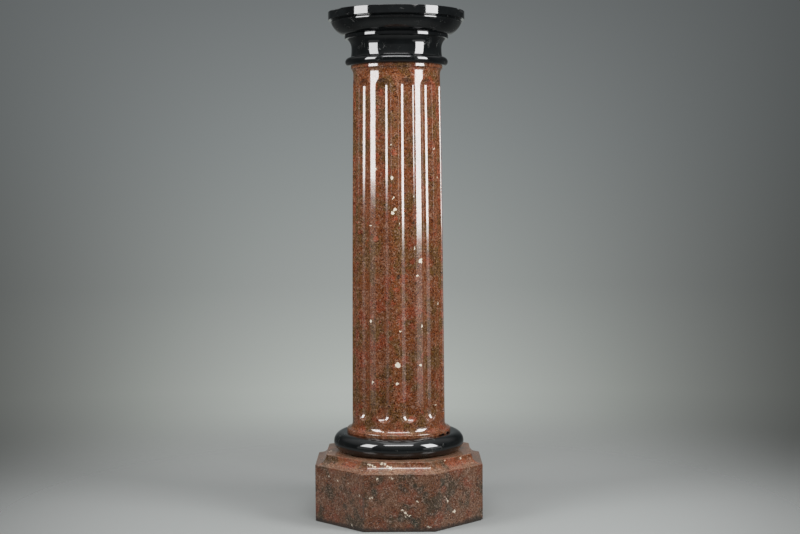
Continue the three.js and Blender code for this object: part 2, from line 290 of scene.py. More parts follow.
def scagliola_mix():
    """Group: coloured plaster full of grains. Soft patches of three tints lie in the body colour, each
    where clouds of its own rise past a level, and round lumps of the red one are scattered among them.
    Every grain is a cell with a shade s of its own that multiplies red by s, green by s^1.4 and blue by
    s^1.8, so that dark grains are warm. Some grains are pale, and small angular flakes lie over all.
    Colour, shade and pale grains come out apart, so that other patches can be laid in between."""
    tree, given, result = new_group(
        "scagliola mix",
        {
            "Vector": ("Vector", None),
            "Grains": ("Float", 700.0),
            "Patches": ("Float", 34.0),
            "Red Above": ("Float", 0.60),
            "Olive Above": ("Float", 0.57),
            "Mauve Above": ("Float", 0.54),
            "Lump Share": ("Float", 0.30),
            "Flake Share": ("Float", 0.05),
            "Body": ("Color", (0.13, 0.05, 0.027, 1)),
            "Red": ("Color", (0.26, 0.05, 0.025, 1)),
            "Olive": ("Color", (0.075, 0.06, 0.03, 1)),
            "Mauve": ("Color", (0.15, 0.085, 0.065, 1)),
        },
        {"Color": "Color", "Shade": "Color", "Pale": "Float", "Flakes": "Float", "Swayed": "Vector",
         "Shard": "Vector"},
    )
    waves = {"Vector": given["Vector"], "Scale": 110.0, "Detail": 3.0}
    sway = add_node(tree, "ShaderNodeTexNoise", waves).outputs["Color"]
    sway = moved(tree, sway, (-0.5, -0.5, -0.5))
    sway = add_node(tree, "ShaderNodeVectorMath", {0: sway, 1: (0.012, 0.012, 0.012)}, operation="MULTIPLY")
    swayed = moved(tree, given["Vector"], sway.outputs[0])

    colour = given["Body"]
    for number, tint in enumerate(("Mauve", "Olive", "Red")):
        apart = moved(tree, given["Vector"], (1.7 * number, 3.1, 0.9 * number))
        cloud = clouds(tree, apart, given["Patches"], detail=3.0, roughness=0.5)
        rise = reckon(tree, "SUBTRACT", cloud, given[tint + " Above"])
        patch = graded(tree, rise, -0.07, 0.08, 0.0, 0.9, "SMOOTHSTEP")
        colour = laid_over(tree, patch, colour, given[tint])
    lumps = reckon(tree, "MULTIPLY", given["Patches"], 1.7)
    lump, lump_chance = cells(tree, moved(tree, swayed, (0.2, 0.8, 0.5)), lumps)
    lump_size = reckon(tree, "MULTIPLY_ADD", lump_chance[2], 0.22, 0.10)
    past_lump = reckon(tree, "SUBTRACT", lump.outputs["Distance"], lump_size)
    lumped = graded(tree, past_lump, 0.06, -0.04, 0.0, 0.9, "SMOOTHSTEP")
    chosen = reckon(tree, "LESS_THAN", lump_chance[0], given["Lump Share"])
    colour = laid_over(tree, reckon(tree, "MULTIPLY", lumped, chosen), colour, given["Red"])

    chance = cells(tree, swayed, given["Grains"])[1]
    shades = add_node(tree, "ShaderNodeValToRGB", {0: chance[0]})
    shades.color_ramp.interpolation = "CONSTANT"
    shades.color_ramp.elements[0].color = (0.17, 0.17, 0.17, 1)
    shades.color_ramp.elements[1].position = 0.16
    shades.color_ramp.elements[1].color = (0.31, 0.31, 0.31, 1)
    for position, grey in ((0.40, 0.42), (0.65, 0.52), (0.88, 0.68)):
        shades.color_ramp.elements.new(position).color = (grey, grey, grey, 1)
    coarser = reckon(tree, "MULTIPLY", given["Grains"], 0.6)
    speck_chance = cells(tree, moved(tree, swayed, (0.4, 2.2, 1.3)), coarser)[1]
    dark_speck = reckon(tree, "LESS_THAN", speck_chance[0], 0.16)
    pale_speck = reckon(tree, "GREATER_THAN", speck_chance[0], 0.89)
    pale_grain = reckon(tree, "MULTIPLY", reckon(tree, "GREATER_THAN", chance[1], 0.90), 0.6)
    pale = reckon(tree, "MAXIMUM", pale_speck, pale_grain)
    shade = reckon(tree, "MULTIPLY", shades.outputs["Color"], 2.3)
    speck_shade = reckon(tree, "MULTIPLY_ADD", dark_speck, -0.45, 1.0)
    shade = reckon(tree, "MULTIPLY", shade, speck_shade)
    tinted = add_node(tree, "ShaderNodeCombineColor", {
        0: shade, 1: reckon(tree, "POWER", shade, 1.4), 2: reckon(tree, "POWER", shade, 1.8),
    }).outputs[0]

    shard = cells(tree, swayed, 520.0)[0]
    flake_place = moved(tree, shard.outputs["Position"], (0.7, 0.3, 0.9))
    flake, flake_chance = cells(tree, flake_place, 42.0)
    flake_size = reckon(tree, "MULTIPLY_ADD", flake_chance[2], 0.09, 0.05)
    flaked = reckon(tree, "LESS_THAN", flake.outputs["Distance"], flake_size)
    chosen = reckon(tree, "LESS_THAN", flake_chance[0], given["Flake Share"])
    give(tree, result, {
        "Color": colour,
        "Shade": tinted,
        "Pale": pale,
        "Flakes": reckon(tree, "MULTIPLY", flaked, chosen),
        "Swayed": swayed,
        "Shard": shard.outputs["Position"],
    })
    return tree


def worn_polish():
    """Group: a rubbed polish. Clouds dull it from place to place, thin lines where two stretched clouds
    cross their middle value are hair scratches, and the height holds the grinder's slow waves, the
    scratches and pinholes."""
    tree, given, result = new_group(
        "worn polish",
        {
            "Vector": ("Vector", None),
            "Polish": ("Float", 0.10),
            "Dulled": ("Float", 0.25),
            "Scratches": ("Float", 0.006),
        },
        {"Roughness": "Float", "Height": "Float", "Scratch": "Float", "Dust": "Float"},
    )
    place = given["Vector"]
    dull = graded(tree, clouds(tree, place, 22.0), 0.4, 0.75)
    scratch = 0.0
    for turn, stretch in (((0.5, 0.9, 0.3), (160.0, 12.0, 30.0)), ((1.2, 0.2, 2.0), (20.0, 130.0, 45.0))):
        stretched = {"Vector": place, "Rotation": turn, "Scale": stretch}
        lines = clouds(tree, add_node(tree, "ShaderNodeMapping", stretched).outputs[0], 1.0, detail=1.0)
        off_middle = reckon(tree, "ABSOLUTE", reckon(tree, "SUBTRACT", lines, 0.5))
        line = reckon(tree, "LESS_THAN", off_middle, given["Scratches"])
        scratch = reckon(tree, "MAXIMUM", scratch, line)
    gaps = clouds(tree, moved(tree, place, (4.0, 2.0, 1.0)), 35.0)
    scratch = reckon(tree, "MULTIPLY", scratch, reckon(tree, "GREATER_THAN", gaps, 0.6))
    pin, pin_chance = cells(tree, place, 110.0)
    pinhole = reckon(tree, "LESS_THAN", pin.outputs["Distance"], 0.07)
    pinhole = reckon(tree, "MULTIPLY", pinhole, reckon(tree, "LESS_THAN", pin_chance[0], 0.08))
    spread = reckon(tree, "SUBTRACT", given["Dulled"], given["Polish"])
    roughness = reckon(tree, "MULTIPLY_ADD", dull, spread, given["Polish"])
    roughness = reckon(tree, "MAXIMUM", roughness, reckon(tree, "MULTIPLY", scratch, 0.35))
    slow = clouds(tree, place, 24.0, detail=1.0)
    height = reckon(tree, "SUBTRACT", slow, reckon(tree, "MULTIPLY", scratch, 0.03))
    height = reckon(tree, "SUBTRACT", height, reckon(tree, "MULTIPLY", pinhole, 0.25))
    give(tree, result, {"Roughness": roughness, "Height": height, "Scratch": scratch, "Dust": pinhole})
    return tree


def placed_spots(name, spots, blur):
    """Group: 1 inside any of these spots, each a centre in metres and a width in millimetres, falling
    to 0 over the blur on both sides of the edge. Fed with the middles of cells, a spot takes in whole
    cells and gets an angular edge."""
    tree, given, result = new_group(name, {"Vector": ("Vector", None)}, {"Mask": "Float"})
    outside = 1.0
    for centre, width in spots:
        ends = {0: given["Vector"], 1: centre}
        away = add_node(tree, "ShaderNodeVectorMath", ends, operation="DISTANCE").outputs["Value"]
        outside = reckon(tree, "MINIMUM", outside, reckon(tree, "SUBTRACT", away, width / 2 * MM))
    give(tree, result, {"Mask": graded(tree, outside, blur * MM, -blur * MM, way="SMOOTHSTEP")})
    return tree


def placed_group(tree, group, inputs):
    """The outputs of a node that stands for one of the groups, with these inputs."""
    return add_node(tree, "ShaderNodeGroup", inputs, node_tree=group).outputs


def finished(tree, shader, colour, polish, broken, roughest, index, relief):
    """Joins a finish to its shader: its colour, its polish, which is rougher where the piece is broken,
    its index of refraction, and a relief of a strength and a depth in metres."""
    rough = reckon(tree, "MAXIMUM", polish["Roughness"], reckon(tree, "MULTIPLY", broken, roughest))
    bump_inputs = {"Height": polish["Height"], "Strength": relief[0], "Distance": relief[1]}
    bump = add_node(tree, "ShaderNodeBump", bump_inputs)
    tree.links.new(colour, shader.inputs["Base Color"])
    tree.links.new(rough, shader.inputs["Roughness"])
    tree.links.new(bump.outputs[0], shader.inputs["Normal"])
    shader.inputs["IOR"].default_value = index


def new_material(name):
    """An empty material with its node tree, Object coordinates, Principled shader and output."""
    material = bpy.data.materials.new(name)
    material.use_nodes = True
    tree = material.node_tree
    tree.nodes.clear()
    shader = tree.nodes.new("ShaderNodeBsdfPrincipled")
    output = tree.nodes.new("ShaderNodeOutputMaterial")
    tree.links.new(shader.outputs[0], output.inputs["Surface"])
    return material, tree, tree.nodes.new("ShaderNodeTexCoord").outputs["Object"], shader


def hollow_reach(height):
    """How far out the middle of a plinth face lies at a height: the die is upright, and the hollow is a
    quarter ellipse."""
    rise = max(0.0, height - die_top) / PLINTH_HOLLOW_HEIGHT
    return plinth_reach - PLINTH_HOLLOW_DEPTH * math.sin(math.acos(1 - min(rise, 1.0)))


def on_plinth(face, along, height):
    """A place on a plinth face, counted from the front one to the right, from millimetres along the
    face and up."""
    turn = face * 2 * math.pi / PLINTH_SIDES
    reach = hollow_reach(height * MM)
    offset = along * MM
    across = reach * math.sin(turn) + offset * math.cos(turn)
    towards = -reach * math.cos(turn) + offset * math.sin(turn)
    return across, towards, height * MM


def plinth_spots(spots):
    """Centres and widths of spots that are given by face, along, height and width."""
    return [(on_plinth(*spot[:3]), spot[3]) for spot in spots]


# The flakes and patches that catch the eye, as face, millimetres along it and up it, and width
PLINTH_FLAKES = [
    (0, -61, 73, 5), (0, -56, 74, 4), (0, 8, 45, 4), (0, 12, 41, 4), (0, 17, 37, 5), (0, 14, 32, 4),
    (0, 23, 33, 4), (0, 63, 9, 5), (1, -44, 70, 4), (1, -40, 64, 5), (1, -36, 58, 5), (1, -16, 34, 6),
    (1, -30, 28, 4), (-1, 40, 9, 5), (0, -20, 116, 4), (0, -14, 113, 4), (0, -47, 112, 4),
    (-1, 30, 96, 4), (-1, -30, 104, 4), (-1, 62, 76, 4), (0, -65, 140, 4), (0, -61, 138, 5),
    (0, -56, 136, 5), (0, -51, 134, 4), (0, -36, 140, 5), (0, -31, 138, 5), (0, -27, 139, 5),
    (0, -22, 136, 5), (0, -18, 133, 6), (0, -14, 131, 5), (1, -20, 139, 5), (1, 30, 138, 6),
]
PLINTH_GREENS = [
    (0, 3, 95, 12), (0, 12, 89, 12), (0, 34, 95, 12), (0, 44, 88, 16), (0, 55, 82, 12),
    (0, -52, 84, 14), (0, 22, 29, 11), (0, 30, 22, 12), (0, 35, 16, 10), (0, 2, 27, 10),
    (1, -52, 102, 16), (1, -34, 44, 13), (1, -26, 38, 12), (0, -34, 132, 9), (-1, 20, 46, 14),
]
PLINTH_REDS = [
    (0, 4, 70, 15), (0, 16, 67, 17), (0, 28, 66, 14), (0, -8, 38, 14), (0, 21, 8, 14), (0, 26, 42, 12),
    (1, -48, 86, 18), (1, 20, 92, 16), (1, 34, 82, 14), (1, 42, 62, 14), (1, 30, 22, 18),
    (-1, -10, 16, 18), (-1, -34, 34, 16), (-1, 14, 134, 16), (-1, 24, 130, 16), (-1, 4, 137, 14),
    (1, 26, 133, 16), (1, 36, 130, 14), (0, -44, 136, 12),
]

mix_group = scagliola_mix()
polish_group = worn_polish()
plinth_material, tree, place, shader = new_material("plinth_scagliola_worn")
mix = placed_group(tree, mix_group, {
    "Vector": place,
    "Grains": 850.0,
    "Patches": 24.0,
    "Red Above": 0.60,
    "Olive Above": 0.53,
    "Mauve Above": 0.49,
    "Lump Share": 0.10,
    "Flake Share": 0.10,
    "Body": (0.086, 0.030, 0.011, 1),
    "Red": (0.118, 0.034, 0.015, 1),
    "Olive": (0.034, 0.023, 0.011, 1),
    "Mauve": (0.112, 0.052, 0.027, 1),
})
colour = mix["Color"]
for label, spots, tint, share in (
    ("plinth greens", PLINTH_GREENS, (0.021, 0.027, 0.019, 1), 0.62),
    ("plinth reds", PLINTH_REDS, (0.135, 0.038, 0.017, 1), 0.6),
):
    group = placed_spots(label, plinth_spots(spots), blur=3.2)
    mask = placed_group(tree, group, {"Vector": mix["Swayed"]})["Mask"]
    colour = laid_over(tree, reckon(tree, "MULTIPLY", mask, share), colour, tint)
# Up-facing faces are laid over with pale grey-mauve: partly settled dust, partly a painted sheen of the
# light from above.
facing = add_node(tree, "ShaderNodeNewGeometry").outputs["Normal"]
facing_up = add_node(tree, "ShaderNodeSeparateXYZ", {0: facing}).outputs["Z"]
dust_and_sheen_above = graded(tree, facing_up, 0.70, 0.96, 0.0, 0.35)
colour = laid_over(tree, dust_and_sheen_above, colour, (0.17, 0.125, 0.095, 1))
# Above the die top, the hollow and the top are made lighter and warmer.
above_floor = add_node(tree, "ShaderNodeSeparateXYZ", {0: mix["Swayed"]}).outputs["Z"]
above_die_share = graded(tree, above_floor, 0.119, 0.127)
lighter_warmer_colour = laid_over(tree, 1.0, colour, (1.3, 1.15, 1.0, 1), "MULTIPLY")
colour = laid_over(tree, above_die_share, colour, lighter_warmer_colour)
colour = laid_over(tree, 1.0, colour, mix["Shade"], "MULTIPLY")
colour = laid_over(tree, reckon(tree, "MULTIPLY", mix["Pale"], 0.62), colour, (0.23, 0.165, 0.130, 1))
flake_spots = placed_spots("plinth flakes", plinth_spots(PLINTH_FLAKES), blur=0.05)
flakes = placed_group(tree, flake_spots, {"Vector": mix["Shard"]})["Mask"]
colour = laid_over(tree, reckon(tree, "MAXIMUM", flakes, mix["Flakes"]), colour, (0.52, 0.45, 0.36, 1))
broken = add_node(tree, "ShaderNodeAttribute", attribute_name="broken").outputs["Fac"]
# Knocks, nibbles and crumbs are painted dark: painted shade inside the nicks.
colour = laid_over(tree, reckon(tree, "MULTIPLY", broken, 0.6), colour, (0.03, 0.02, 0.015, 1))
# The lowest 12 mm darken towards the floor: painted shade along the foot.
foot_painted_shade = graded(tree, above_floor, 0.005, 0.012, 0.85, 0.0)
colour = laid_over(tree, foot_painted_shade, colour, (0.018, 0.014, 0.011, 1))
polish = placed_group(tree, polish_group, {
    "Vector": place,
    "Polish": 0.10,
    "Dulled": 0.18,
    "Scratches": 0.006,
})
finished(tree, shader, colour, polish, broken, roughest=0.7, index=1.6, relief=(0.5, 0.6 * MM))
plinth.data.materials.append(plinth_material)
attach(plinth, "root")
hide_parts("plinth")


# Base torus
# A half-round ring of polished black stone between plinth and shaft, turned in one with its middle. It
# lies on the plinth and carries the shaft, with no more than a bed of plaster between them.

TORUS_COLUMNS = 256
TORUS_ROUND = 20.5 * MM
TORUS_WAVE = 0.12 * MM


def swelling(start, end, radius, steps):
    """A round moulding: the arc of this radius that swells outwards on its way up from start to end,
    which is left out."""
    start, end = np.array(start), np.array(end)
    way = end - start
    half_way = np.linalg.norm(way) / 2
    inwards = np.array([-way[1], way[0]]) / (2 * half_way)
    centre = (start + end) / 2 + inwards * math.sqrt(max(0.0, radius**2 - half_way**2))
    first = math.atan2(*(start - centre)[::-1])
    sweep = 2 * math.asin(min(1.0, half_way / radius))
    angle = first + sweep * np.linspace(0, 1, steps, endpoint=False)
    return centre + radius * np.stack([np.cos(angle), np.sin(angle)], axis=-1)


def turned(outline, columns, wave, seed):
    """Rings of a turned piece: the outline carried round the axis, its radius a little uneven as hand
    polishing leaves it."""
    angle = np.linspace(0, 2 * np.pi, columns, endpoint=False)[None, :]
    rings = around(outline[:, :1], angle, outline[:, 1:])
    return around(outline[:, :1] + wave * ripple(rings, 70 * MM, seed), angle, outline[:, 1:])


torus_low, torus_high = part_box("base_torus")
torus_seat = torus_high.x - TORUS_ROUND
torus_outline = np.vstack([
    straight((INNER_SHARE * torus_seat, torus_low.z), (torus_seat, torus_low.z), 8),
    swelling((torus_seat, torus_low.z), (torus_seat, torus_high.z), TORUS_ROUND, 64),
    straight((torus_seat, torus_high.z), (INNER_SHARE * torus_seat, torus_high.z), 8),
    [(INNER_SHARE * torus_seat, torus_high.z)],
])
torus_rings = turned(torus_outline, TORUS_COLUMNS, TORUS_WAVE, seed=21)
torus_broken = np.zeros(torus_rings.shape[:2])
torus = closed_surface("base_torus_visual", torus_rings, {"broken": torus_broken})

black_material, tree, place, shader = new_material("black_stone_polished")
polish = placed_group(tree, polish_group, {
    "Vector": place,
    "Polish": 0.04,
    "Dulled": 0.09,
    "Scratches": 0.003,
})
cloud = graded(tree, clouds(tree, place, 40.0, detail=4.0), 0.35, 0.7)
colour = laid_over(tree, cloud, (0.0014, 0.0018, 0.0020, 1), (0.0030, 0.0038, 0.0041, 1))
colour = laid_over(tree, reckon(tree, "MULTIPLY", polish["Scratch"], 0.5), colour, (0.11, 0.11, 0.105, 1))
colour = laid_over(tree, reckon(tree, "MULTIPLY", polish["Dust"], 0.4), colour, (0.2, 0.2, 0.19, 1))
broken = add_node(tree, "ShaderNodeAttribute", attribute_name="broken").outputs["Fac"]
colour = laid_over(tree, reckon(tree, "MULTIPLY", broken, 0.8), colour, (0.045, 0.047, 0.046, 1))
finished(tree, shader, colour, polish, broken, roughest=0.5, index=1.6, relief=(0.35, 0.5 * MM))
torus.data.materials.append(black_material)
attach(torus, "root")
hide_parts("base_torus")


# Shaft
# The column itself: a tapering drum of redder scagliola with a band and a hollow at each end and twelve
# shallow flutes. The flutes are cut with a round tool that lifts out at both ends. It stands on the
# torus and carries the capital.

FOOT_HEIGHT = 8.5 * MM
FOOT_EASING = 2.5 * MM
FOOT_HOLLOW_HEIGHT = 13.5 * MM
BODY_FOOT_RADIUS = 101.7 * MM
BODY_HEAD_RADIUS = 94.7 * MM
BODY_SWELLING = 0.8 * MM
HEAD_RADIUS = 99.8 * MM
HEAD_HEIGHT = 6.5 * MM
HEAD_HOLLOW_HEIGHT = 12.5 * MM
FLUTE_COUNT = 12
FLUTE_TURN = math.radians(-17.7)
FLUTE_HALF_ANGLE = math.radians(10.3)
FLUTE_DEPTH = 9 * MM
FLUTE_ABOVE_FOOT = 32 * MM
FLUTE_BELOW_HEAD = 31.5 * MM
FLUTE_ARRIS = 0.4 * MM
FLUTE_TIP_SHARE = 0.06
SHAFT_EDGE = 0.5 * MM
FOOT_KNOCKS = [
    {"angle": 56, "length": 22, "depth": 3.5, "rise": 2.2},
    {"angle": 70, "length": 22, "depth": 5, "rise": 3.5},
]

shaft_low, shaft_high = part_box("shaft")
foot_radius = shaft_high.y
foot_top = shaft_low.z + FOOT_HEIGHT
body_foot = foot_top + FOOT_HOLLOW_HEIGHT
head_foot = shaft_high.z - HEAD_HEIGHT
body_head = head_foot - HEAD_HOLLOW_HEIGHT
low_tip = shaft_low.z + FLUTE_ABOVE_FOOT
high_tip = shaft_high.z - FLUTE_BELOW_HEAD


def body_radius(height):
    """Radius of the round body at a height: a straight taper plus a swelling that is a half wave of
    sine."""
    share = (height - body_foot) / (body_head - body_foot)
    taper = BODY_FOOT_RADIUS + (BODY_HEAD_RADIUS - BODY_FOOT_RADIUS) * share
    return taper + BODY_SWELLING * np.sin(np.pi * np.clip(share, 0, 1))


def on_body(heights):
    """Outline points of the round body at these heights."""
    return np.stack([body_radius(heights), heights], axis=-1)


def flute_end(tip, upwards, steps):
    """Heights over a flute's run-out, from the straight run to the tip, closer together towards the tip
    as a sine is."""
    run_out = body_radius(tip) * math.sin(FLUTE_HALF_ANGLE)
    return tip + upwards * run_out * (np.sin(np.linspace(0, np.pi / 2, steps)) - 1)


low_end = flute_end(low_tip, -1, 16)[::-1]
high_end = flute_end(high_tip, 1, 16)
eased_radius = foot_radius - FOOT_EASING
foot_edge = (foot_radius - SHAFT_EDGE, shaft_low.z)
band_foot = (foot_radius, shaft_low.z + SHAFT_EDGE)
band_head = (HEAD_RADIUS, shaft_high.z - SHAFT_EDGE)
head_edge = (HEAD_RADIUS - SHAFT_EDGE, shaft_high.z)
shaft_outline = np.vstack([
    straight((INNER_SHARE * foot_radius, shaft_low.z), foot_edge, 8),
    eased(foot_edge, (foot_radius, shaft_low.z), band_foot, 4),
    straight(band_foot, (foot_radius, foot_top - FOOT_EASING), 5),
    swelling((foot_radius, foot_top - FOOT_EASING), (eased_radius, foot_top), FOOT_EASING, 8),
    hollowed((eased_radius, foot_top), (BODY_FOOT_RADIUS, body_foot), 16),
    on_body(np.linspace(body_foot, low_end[0], 5, endpoint=False)),
    on_body(low_end),
    on_body(np.linspace(low_end[-1], high_end[0], 78)[1:-1]),
    on_body(high_end),
    on_body(np.linspace(high_end[-1], body_head, 5)[1:-1]),
    hollowed((HEAD_RADIUS, head_foot), (BODY_HEAD_RADIUS, body_head), 14)[::-1],
    straight((HEAD_RADIUS, head_foot + SHAFT_EDGE), band_head, 4),
    eased(band_head, (HEAD_RADIUS, shaft_high.z), head_edge, 4),
    straight(head_edge, (INNER_SHARE * HEAD_RADIUS, shaft_high.z), 6),
    [(INNER_SHARE * HEAD_RADIUS, shaft_high.z)],
])


def fluted(outline):
    """Rings of the fluted shaft. Each flute's columns share out the groove, which narrows to a tip as a
    circle does, and the rest share out the land beside it, closest together at the arris. The groove's
    depth is the round cutter's, sqrt(r^2 - s^2) - (r - d) with s from the line of the run, eased at the
    arris by half of (cut + sqrt(cut^2 + e^2))."""
    radius, height = outline[:, :1], outline[:, 1:]
    half_width = radius * math.sin(FLUTE_HALF_ANGLE)
    cutter = (half_width**2 + FLUTE_DEPTH**2) / (2 * FLUTE_DEPTH)
    past_low = low_tip + BODY_FOOT_RADIUS * math.sin(FLUTE_HALF_ANGLE) - height
    past_high = height - high_tip + BODY_HEAD_RADIUS * math.sin(FLUTE_HALF_ANGLE)
    past = np.maximum(np.maximum(past_low, past_high), 0)
    narrowed = np.sqrt(np.maximum(0, 1 - (past / half_width) ** 2))
    spread_again = np.clip((past / half_width - 1) / 1.2, 0, 1)
    opening = np.maximum(np.maximum(narrowed, FLUTE_TIP_SHARE), spread_again)
    across = np.sin(np.linspace(-np.pi / 2, np.pi / 2, 23))
    beside = (1 - np.cos(np.linspace(0, np.pi, 15)[1:-1])) / 2
    edge_angle = opening * FLUTE_HALF_ANGLE
    in_flute = across * edge_angle
    on_land = edge_angle + beside * (2 * np.pi / FLUTE_COUNT - 2 * edge_angle)
    pitch = np.concatenate([in_flute, on_land], axis=1)
    to_flute = np.where(pitch > np.pi / FLUTE_COUNT, pitch - 2 * np.pi / FLUTE_COUNT, pitch)
    from_line = np.hypot(to_flute / FLUTE_HALF_ANGLE * half_width, past)
    cut = np.sqrt(np.maximum(0, cutter**2 - from_line**2)) - (cutter - FLUTE_DEPTH)
    depth = (cut + np.sqrt(cut**2 + FLUTE_ARRIS**2)) / 2
    depth = np.where((height > body_foot) & (height < body_head), depth, 0)
    middles = FLUTE_TURN + np.arange(FLUTE_COUNT) * 2 * np.pi / FLUTE_COUNT
    angle = (middles[None, :, None] + pitch[:, None, :]).reshape(len(outline), -1)
    return around(radius - np.tile(depth, FLUTE_COUNT), angle, height)


shaft_rings = fluted(shaft_outline)
shaft_broken = np.zeros(shaft_rings.shape[:2])
for number, knock in enumerate(FOOT_KNOCKS):
    arris = (foot_radius, shaft_low.z)
    shaft_rings, bitten = knock_out(shaft_rings, arris, knock, upwards=-1, seed=31 + number)
    shaft_broken = np.maximum(shaft_broken, bitten)
shaft = closed_surface("shaft_visual", shaft_rings, {"broken": shaft_broken})


def on_shaft(angle, height):
    """A place on the round body, from degrees round it from the front and millimetres up."""
    turn = math.radians(angle)
    reach = body_radius(height * MM)
    return reach * math.sin(turn), -reach * math.cos(turn), height * MM


def shaft_spots(spots):
    """Centres and widths of spots that are given by angle, height and width."""
    return [(on_shaft(*spot[:2]), spot[2]) for spot in spots]


# The chips and lumps that catch the eye, as degrees round from the front, millimetres up, and width
SHAFT_CHIPS = [
    (-27, 760, 5), (-7, 741, 6), (-5, 698, 5), (20, 698, 6), (-3, 673, 7), (-5, 667, 6), (11, 660, 8),
    (11, 655, 7), (4, 645, 7), (17, 636, 7), (44, 616, 9), (-37, 639, 5), (-16, 638, 5), (56, 803, 5),
    (63, 717, 5), (-69, 650, 5), (38, 660, 5), (-9, 810, 5), (30, 563, 9), (21, 590, 6), (-15, 509, 8),
    (38, 506, 9), (12, 483, 5), (-36, 434, 6), (18, 435, 5), (-18, 404, 5), (31, 423, 5), (20, 397, 6),
    (0, 341, 11), (28, 339, 6), (-33, 302, 6), (-1, 300, 6), (-19, 279, 5), (66, 327, 6), (64, 293, 5),
    (51, 250, 6), (25, 532, 6), (4, 414, 5), (-74, 554, 10),
]
SHAFT_REDS = [
    (12, 543, 17), (-46, 532, 14), (-6, 528, 12), (-1, 502, 12), (-13, 431, 14), (-18, 386, 14),
    (-49, 395, 13), (-15, 588, 15), (-29, 611, 13), (-20, 240, 13), (-24, 790, 13), (-4, 794, 13),
    (-71, 806, 15), (28, 660, 16), (-3, 655, 12),
]
SHAFT_DARKS = [
    (14, 648, 11), (20, 645, 9), (22, 874, 4), (-40, 636, 9), (-45, 640, 9), (34, 634, 8), (1, 530, 9),
    (17, 878, 6),
]

shaft_material, tree, place, shader = new_material("shaft_scagliola_polished")
mix = placed_group(tree, mix_group, {
    "Vector": place,
    "Grains": 700.0,
    "Patches": 26.0,
    "Red Above": 0.60,
    "Olive Above": 0.52,
    "Mauve Above": 0.54,
    "Lump Share": 0.34,
    "Flake Share": 0.05,
    "Body": (0.112, 0.033, 0.009, 1),
    "Red": (0.150, 0.034, 0.013, 1),
    "Olive": (0.076, 0.036, 0.009, 1),
    "Mauve": (0.130, 0.046, 0.020, 1),
})
colour = mix["Color"]
for label, spots, tint, share in (
    ("shaft darks", SHAFT_DARKS, (0.018, 0.016, 0.010, 1), 0.8),
    ("shaft reds", SHAFT_REDS, (0.19, 0.040, 0.016, 1), 0.85),
):
    group = placed_spots(label, shaft_spots(spots), blur=1.2)
    mask = placed_group(tree, group, {"Vector": mix["Swayed"]})["Mask"]
    colour = laid_over(tree, reckon(tree, "MULTIPLY", mask, share), colour, tint)
colour = laid_over(tree, 1.0, colour, mix["Shade"], "MULTIPLY")
colour = laid_over(tree, reckon(tree, "MULTIPLY", mix["Pale"], 0.6), colour, (0.23, 0.14, 0.10, 1))
chip_spots = placed_spots("shaft chips", shaft_spots(SHAFT_CHIPS), blur=0.05)
chips = placed_group(tree, chip_spots, {"Vector": mix["Shard"]})["Mask"]
colour = laid_over(tree, reckon(tree, "MAXIMUM", chips, mix["Flakes"]), colour, (0.60, 0.53, 0.43, 1))
broken = add_node(tree, "ShaderNodeAttribute", attribute_name="broken").outputs["Fac"]
colour = laid_over(tree, reckon(tree, "MULTIPLY", broken, 0.6), colour, (0.075, 0.040, 0.025, 1))
polish = placed_group(tree, polish_group, {
    "Vector": place,
    "Polish": 0.07,
    "Dulled": 0.12,
    "Scratches": 0.003,
})
finished(tree, shader, colour, polish, broken, roughest=0.7, index=1.7, relief=(0.4, 0.5 * MM))
shaft.data.materials.append(shaft_material)
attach(shaft, "root")
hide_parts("shaft")


# Capital
# The head of the column, turned from one piece of the same black stone and polished: astragal, waisted
# neck, ring, ovolo, fillet and a round abacus with a flat top. It sits on the shaft, and its rim has
# been knocked in three places.

ASTRAGAL_ROUND = 9.2 * MM
ASTRAGAL_RADIUS = 111.9 * MM
NECK_HEIGHT = 40.1 * MM
NECK_FOOT_RADIUS = 100.3 * MM
NECK_WAIST_RADIUS = 98.3 * MM
NECK_WAIST_HEIGHT = 19.1 * MM
NECK_HEAD_RADIUS = 106.9 * MM
NECK_FLARE_POWER = 2.4
RING_RADIUS = 112.7 * MM
RING_HEIGHT = 8.4 * MM
OVOLO_FOOT_RADIUS = 115 * MM
OVOLO_HEAD_RADIUS = 141.5 * MM
OVOLO_ROUND = 44.8 * MM
OVOLO_HEIGHT = 25.6 * MM
FILLET_RADIUS = 143 * MM
FILLET_HEIGHT = 6.5 * MM
ABACUS_RADIUS = 148.3 * MM
CAPITAL_EASING = 0.9 * MM
RING_EASING = 2 * MM
FILLET_FACE = 2.7 * MM
FILLET_EASING = 0.4 * MM
COVE_DEPTH = 3 * MM
OVOLO_REVEAL = 0.1 * MM
RIM_SHARE = 0.93
CAPITAL_WAVE = 0.06 * MM
CAPITAL_COLUMNS = 320
RIM_KNOCKS = [
    {"angle": -61, "length": 42, "depth": 4, "rise": 1.7},
    {"angle": 15, "length": 11, "depth": 4, "rise": 2},
    {"angle": 64, "length": 14, "depth": 3, "rise": 1.6},
]

capital_low, capital_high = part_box("capital")
astragal_seat = ASTRAGAL_RADIUS - ASTRAGAL_ROUND
neck_foot = capital_low.z + 2 * ASTRAGAL_ROUND
ring_foot = neck_foot + NECK_HEIGHT
ovolo_foot = ring_foot + RING_HEIGHT
fillet_foot = ovolo_foot + OVOLO_HEIGHT
abacus_foot = fillet_foot + FILLET_HEIGHT
cove_foot = fillet_foot + FILLET_FACE
capital_top = capital_high.z
rim_reach = RIM_SHARE * ABACUS_RADIUS
cove_reach = FILLET_RADIUS - COVE_DEPTH
ovolo_start = (OVOLO_FOOT_RADIUS, ovolo_foot + OVOLO_REVEAL)


